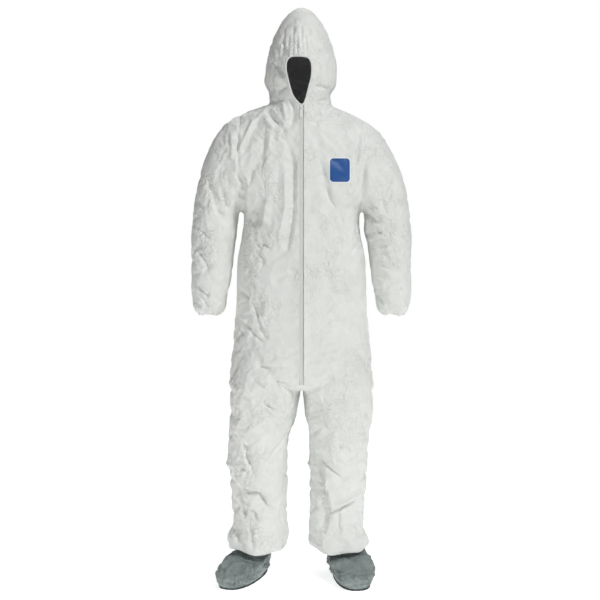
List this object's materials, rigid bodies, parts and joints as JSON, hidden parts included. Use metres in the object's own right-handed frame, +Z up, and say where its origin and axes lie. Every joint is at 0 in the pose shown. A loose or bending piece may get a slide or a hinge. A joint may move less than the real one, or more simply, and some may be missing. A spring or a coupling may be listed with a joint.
{
  "type": "hooded protective coverall",
  "caption": "Hooded one-piece coverall with a front zip, elastic face, wrist and waist edges, long sleeves and grey boots attached to the legs.",
  "frame": {"origin": "between the two shoulders at the base of the neck, where the wearer carries the suit", "axes": "+Z up, the suit faces -Y, the wearer's left side is at +X"},
  "size_m": [0.7058, 0.3597, 1.82],
  "materials": {
    "coverall_fabric": "matt, crisp flash-spun sheet with a faint sheen",
    "boot_fabric": "matt coated sheet",
    "sole_rubber": "matt, lightly textured",
    "elastic": "matt gathered elastic",
    "zip_tape": "matt woven tape",
    "zip_plastic": "satin nylon",
    "badge_print": "printed patch",
    "label_cloth": "woven label"
  },
  "bodies": {
    "torso": {"front_panel_left": "coverall_fabric", "front_panel_right": "coverall_fabric", "back_panel_left": "coverall_fabric", "back_panel_right": "coverall_fabric", "neck_panel_left": "coverall_fabric", "neck_panel_right": "coverall_fabric", "waist_elastic": "elastic", "crotch_gusset": "coverall_fabric", "chest_badge": "badge_print", "size_label": "label_cloth", "zip_tape_left": "zip_tape", "zip_tape_right": "zip_tape", "zip_coil_left": "zip_plastic", "zip_coil_right": "zip_plastic", "zip_top_stop_left": "zip_plastic", "zip_top_stop_right": "zip_plastic", "zip_bottom_stop": "zip_plastic"},
    "hood": {"hood_panel_left": "coverall_fabric", "hood_panel_right": "coverall_fabric", "hood_crown_panel": "coverall_fabric", "face_elastic": "elastic"},
    "slider": {"zip_slider": "zip_plastic"},
    "pull": {"zip_pull_tab": "zip_plastic"},
    "upper_arm_left": {"upper_sleeve_left": "coverall_fabric"},
    "forearm_left": {"lower_sleeve_left": "coverall_fabric", "wrist_elastic_left": "elastic"},
    "thigh_left": {"thigh_front_left": "coverall_fabric", "thigh_back_left": "coverall_fabric"},
    "shin_left": {"shin_front_left": "coverall_fabric", "shin_back_left": "coverall_fabric", "hem_elastic_left": "elastic"},
    "boot_left": {"boot_upper_left": "boot_fabric", "boot_sole_left": "sole_rubber", "boot_top_elastic_left": "elastic"},
    "upper_arm_right": {"upper_sleeve_right": "coverall_fabric"},
    "forearm_right": {"lower_sleeve_right": "coverall_fabric", "wrist_elastic_right": "elastic"},
    "thigh_right": {"thigh_front_right": "coverall_fabric", "thigh_back_right": "coverall_fabric"},
    "shin_right": {"shin_front_right": "coverall_fabric", "shin_back_right": "coverall_fabric", "hem_elastic_right": "elastic"},
    "boot_right": {"boot_upper_right": "boot_fabric", "boot_sole_right": "sole_rubber", "boot_top_elastic_right": "elastic"}
  },
  "joints": [
    {"name": "zip_slide", "type": "slide", "parent": "torso", "child": "slider", "axis": [0, -0.0367, -0.9993], "range_m": [0, 0.84]},
    {"name": "pull_tab_swing", "type": "hinge", "parent": "slider", "child": "pull", "pos_m": [0, -0.12369, 0.04869], "axis": [-1, 0, 0], "range_deg": [0, 170]},
    {"name": "hood_fold", "type": "hinge", "parent": "torso", "child": "hood", "pos_m": [0, 0.09, 0.065], "axis": [-1, 0, 0], "range_deg": [0, 90]},
    {"name": "shoulder_left", "type": "hinge", "parent": "torso", "child": "upper_arm_left", "pos_m": [0.1965, 0, -0.07], "axis": [-1, 0, 0], "range_deg": [-30, 90]},
    {"name": "elbow_left", "type": "hinge", "parent": "upper_arm_left", "child": "forearm_left", "pos_m": [0.277, -0.02, -0.355], "axis": [-1, 0, 0], "range_deg": [0, 75]},
    {"name": "hip_left", "type": "hinge", "parent": "torso", "child": "thigh_left", "pos_m": [0.12, -0.05, -0.79], "axis": [-1, 0, 0], "range_deg": [-10, 45]},
    {"name": "knee_left", "type": "hinge", "parent": "thigh_left", "child": "shin_left", "pos_m": [0.1175, 0.03, -1.035], "axis": [1, 0, 0], "range_deg": [0, 60]},
    {"name": "ankle_left", "type": "hinge", "parent": "shin_left", "child": "boot_left", "pos_m": [0.146, 0.03, -1.35], "axis": [0.9903, 0.1392, 0], "range_deg": [-5, 20]},
    {"name": "shoulder_right", "type": "hinge", "parent": "torso", "child": "upper_arm_right", "pos_m": [-0.1965, 0, -0.07], "axis": [-1, 0, 0], "range_deg": [-30, 90]},
    {"name": "elbow_right", "type": "hinge", "parent": "upper_arm_right", "child": "forearm_right", "pos_m": [-0.277, -0.02, -0.355], "axis": [-1, 0, 0], "range_deg": [0, 75]},
    {"name": "hip_right", "type": "hinge", "parent": "torso", "child": "thigh_right", "pos_m": [-0.12, -0.05, -0.79], "axis": [-1, 0, 0], "range_deg": [-10, 45]},
    {"name": "knee_right", "type": "hinge", "parent": "thigh_right", "child": "shin_right", "pos_m": [-0.1365, 0.03, -1.035], "axis": [1, 0, 0], "range_deg": [0, 60]},
    {"name": "ankle_right", "type": "hinge", "parent": "shin_right", "child": "boot_right", "pos_m": [-0.152, 0.03, -1.35], "axis": [0.9336, -0.3584, 0], "range_deg": [-5, 20]}
  ]
}
